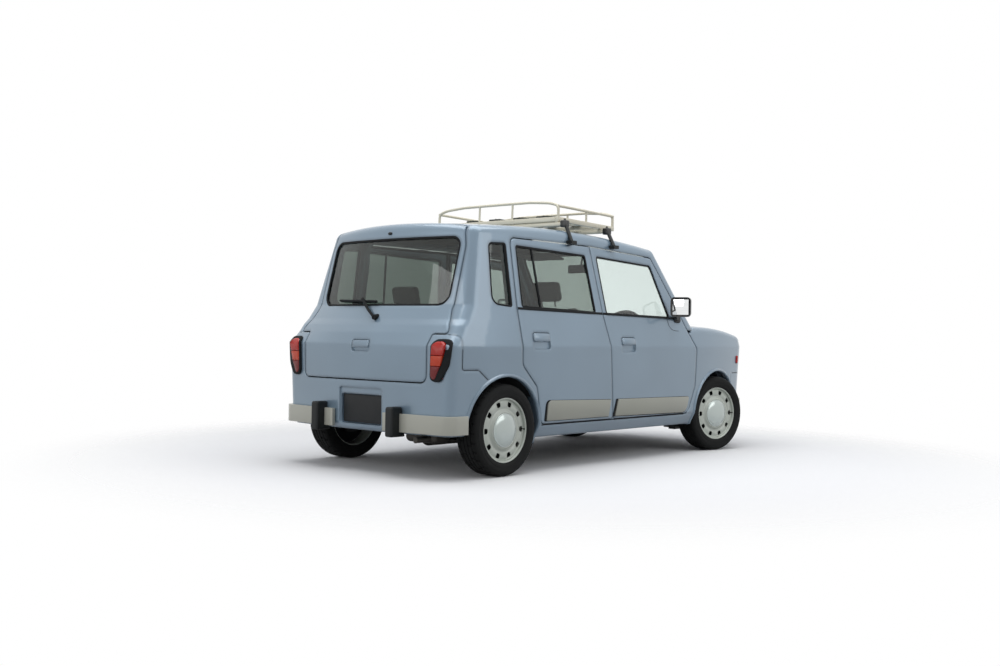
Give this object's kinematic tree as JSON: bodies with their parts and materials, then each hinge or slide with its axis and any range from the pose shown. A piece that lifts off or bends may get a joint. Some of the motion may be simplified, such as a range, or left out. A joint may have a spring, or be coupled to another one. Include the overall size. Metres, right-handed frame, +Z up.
{
  "type": "five-door kei hatchback",
  "caption": "Small boxy five-door hatchback with roof rack and tubular-style bumper bars; doors, hatch and hood open, wheels roll and steer.",
  "frame": {"origin": "on the ground, midway between the axles and between the wheels", "axes": "+X forward, +Y to the car's left, +Z up"},
  "size_m": [3.47, 1.794, 1.6806],
  "materials": {
    "body_paint": "light blue metallic, clear coated",
    "beige_paint": "beige gloss",
    "black_plastic": "satin",
    "tinted_glass": "privacy tint",
    "clear_glass": "clear",
    "tyre_rubber": "matt",
    "wheel_white": "white gloss, silver hub cap",
    "rack_cream": "cream powder coat",
    "rack_boards": "dark boards",
    "lamp_clear": "clear lens over a bright bowl",
    "lamp_red": "red and amber lens",
    "undercoat": "undercoat",
    "chassis_steel": "black satin",
    "engine_iron": "dull",
    "tank_plastic": "dull",
    "exhaust_steel": "dull",
    "interior_plastic": "grained",
    "seat_cloth": "woven cloth"
  },
  "bodies": {
    "car_body": {"bumper_bars": "beige_paint", "dashboard": "interior_plastic", "engine": "engine_iron", "exhaust": "exhaust_steel", "firewall": "undercoat", "floor_pan": "undercoat", "front_bumper": "body_paint", "front_chassis": "chassis_steel", "front_fender_left": "body_paint", "front_fender_right": "body_paint", "front_suspension": "chassis_steel", "fuel_tank": "tank_plastic", "grille": "black_plastic", "headlights": "lamp_clear", "overriders": "black_plastic", "quarter_windows": "tinted_glass", "rack_boards": "rack_boards", "rack_feet": "black_plastic", "rack_frame": "rack_cream", "rear_axle": "chassis_steel", "rear_bumper": "body_paint", "roof_panel": "body_paint", "seats": "seat_cloth", "side_frame_left": "body_paint", "side_frame_right": "body_paint", "steering_wheel": "interior_plastic", "tail_lamps": "lamp_red", "windshield": "clear_glass"},
    "front_door_right": {"front_door_right": "body_paint", "front_door_glass_right": "clear_glass", "door_mirror_right": "black_plastic"},
    "rear_door_right": {"rear_door_right": "body_paint", "rear_door_glass_right": "tinted_glass"},
    "knuckle_right": {"knuckle_right": "chassis_steel"},
    "front_wheel_right": {"front_tyre_right": "tyre_rubber", "front_rim_right": "wheel_white"},
    "rear_wheel_right": {"rear_tyre_right": "tyre_rubber", "rear_rim_right": "wheel_white"},
    "front_door_left": {"front_door_left": "body_paint", "front_door_glass_left": "clear_glass", "door_mirror_left": "black_plastic"},
    "rear_door_left": {"rear_door_left": "body_paint", "rear_door_glass_left": "tinted_glass"},
    "knuckle_left": {"knuckle_left": "chassis_steel"},
    "front_wheel_left": {"front_tyre_left": "tyre_rubber", "front_rim_left": "wheel_white"},
    "rear_wheel_left": {"rear_tyre_left": "tyre_rubber", "rear_rim_left": "wheel_white"},
    "hatch": {"hatch": "body_paint", "hatch_glass": "tinted_glass"},
    "hood": {"hood": "body_paint"}
  },
  "joints": [
    {"name": "front_door_right_hinge", "type": "hinge", "parent": "car_body", "child": "front_door_right", "pos_m": [0.852, -0.74, 0.6], "axis": [0, 0, 1], "range_deg": [0, 65]},
    {"name": "rear_door_right_hinge", "type": "hinge", "parent": "car_body", "child": "rear_door_right", "pos_m": [-0.115, -0.74, 0.6], "axis": [0, 0, 1], "range_deg": [0, 68]},
    {"name": "steer_right", "type": "hinge", "parent": "car_body", "child": "knuckle_right", "pos_m": [1.18, -0.6, 0.267], "axis": [0, 0, 1], "range_deg": [-27, 49]},
    {"name": "front_wheel_right_spin", "type": "hinge", "parent": "knuckle_right", "child": "front_wheel_right", "pos_m": [1.17084, -0.64712, 0.267], "axis": [0.1908, 0.9816, 0], "continuous": true},
    {"name": "rear_wheel_right_spin", "type": "hinge", "parent": "car_body", "child": "rear_wheel_right", "pos_m": [-1.18, -0.648, 0.267], "axis": [0, 1, 0], "continuous": true},
    {"name": "front_door_left_hinge", "type": "hinge", "parent": "car_body", "child": "front_door_left", "pos_m": [0.852, 0.74, 0.6], "axis": [0, 0, -1], "range_deg": [0, 65]},
    {"name": "rear_door_left_hinge", "type": "hinge", "parent": "car_body", "child": "rear_door_left", "pos_m": [-0.115, 0.74, 0.6], "axis": [0, 0, -1], "range_deg": [0, 68]},
    {"name": "steer_left", "type": "hinge", "parent": "car_body", "child": "knuckle_left", "pos_m": [1.18, 0.6, 0.267], "axis": [0, 0, 1], "range_deg": [-27, 49]},
    {"name": "front_wheel_left_spin", "type": "hinge", "parent": "knuckle_left", "child": "front_wheel_left", "pos_m": [1.18916, 0.64712, 0.267], "axis": [0.1908, 0.9816, 0], "continuous": true},
    {"name": "rear_wheel_left_spin", "type": "hinge", "parent": "car_body", "child": "rear_wheel_left", "pos_m": [-1.18, 0.648, 0.267], "axis": [0, 1, 0], "continuous": true},
    {"name": "hatch_hinge", "type": "hinge", "parent": "car_body", "child": "hatch", "pos_m": [-1.346, 0, 1.479], "axis": [0, 1, 0], "range_deg": [0, 78]},
    {"name": "hood_hinge", "type": "hinge", "parent": "car_body", "child": "hood", "pos_m": [0.906, 0, 0.928], "axis": [0, -1, 0], "range_deg": [0, 55]}
  ],
  "couplings": [
    {"joint": "steer_left", "follows": "steer_right", "ratio": 1}
  ]
}
